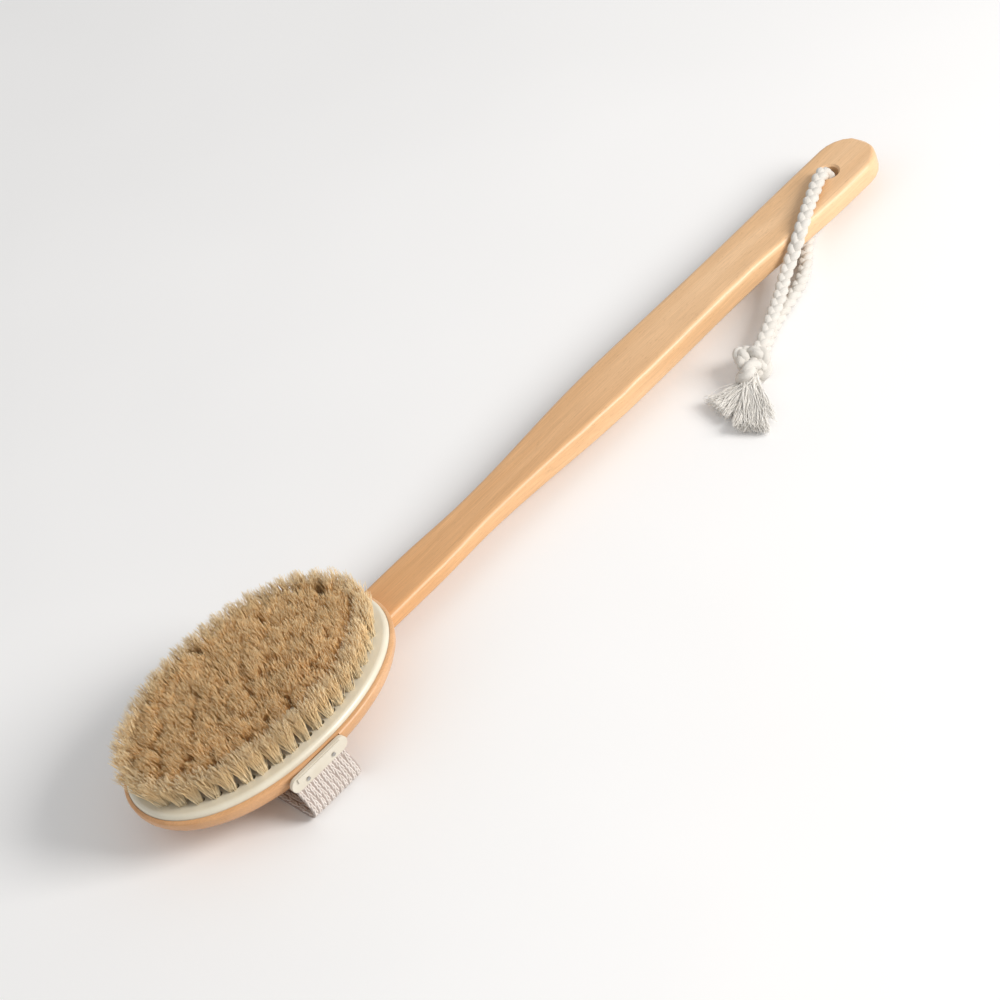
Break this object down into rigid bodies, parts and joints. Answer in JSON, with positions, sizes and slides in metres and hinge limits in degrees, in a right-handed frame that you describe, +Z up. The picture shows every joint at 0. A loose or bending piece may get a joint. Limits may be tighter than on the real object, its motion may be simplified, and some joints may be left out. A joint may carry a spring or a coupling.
{
  "type": "body dry brush",
  "caption": "Long-handled oval body brush lying on its back, with natural bristle tufts in a cream plate, a plug-in wooden handle, an elastic hand strap and a knotted cotton hanging rope.",
  "frame": {"origin": "middle of the brush's length and width, on the surface that it lies on", "axes": "+X along the handle away from the head, +Z up out of the bristle side, Y across the head"},
  "size_m": [0.4183, 0.1119, 0.0389],
  "materials": {
    "head_wood": "lightly lacquered beech",
    "handle_wood": "lightly lacquered beech",
    "plate_plastic": "smooth cream moulding",
    "clip_plastic": "smooth cream moulding",
    "bristle_border": "pale natural bristle",
    "bristle_inner": "golden natural bristle",
    "anchor_wire": "drawn wire",
    "pin_steel": "dull nail heads",
    "strap_elastic": "knitted elastic webbing",
    "rope_cotton": "plaited cotton"
  },
  "bodies": {
    "head": {"head_base": "head_wood", "bristle_plate": "plate_plastic", "tufts_border": "bristle_border", "tufts_row_01": "bristle_inner", "tufts_row_02": "bristle_inner", "tufts_row_03": "bristle_inner", "tufts_row_04": "bristle_inner", "tufts_row_05": "bristle_inner", "tufts_row_06": "bristle_inner", "tufts_row_07": "bristle_inner", "tufts_row_08": "bristle_inner", "tufts_row_09": "bristle_inner", "tufts_row_10": "bristle_inner", "tufts_row_11": "bristle_inner", "tufts_row_12": "bristle_inner", "tufts_row_13": "bristle_inner", "tufts_row_14": "bristle_inner", "tufts_row_15": "bristle_inner", "tufts_row_16": "bristle_inner", "tufts_row_17": "bristle_inner", "tufts_row_18": "bristle_inner", "tufts_row_19": "bristle_inner", "tuft_anchors": "anchor_wire", "strap_clip_near": "clip_plastic", "strap_clip_far": "clip_plastic", "clip_pins_near": "pin_steel", "clip_pins_far": "pin_steel", "hand_strap": "strap_elastic"},
    "handle": {"handle": "handle_wood", "rope_over": "rope_cotton", "rope_under": "rope_cotton", "rope_knot": "rope_cotton", "rope_tassel": "rope_cotton"}
  },
  "joints": [
    {"name": "handle_slide", "type": "slide", "parent": "head", "child": "handle", "axis": [1, 0, 0], "range_m": [0, 0.06]}
  ]
}
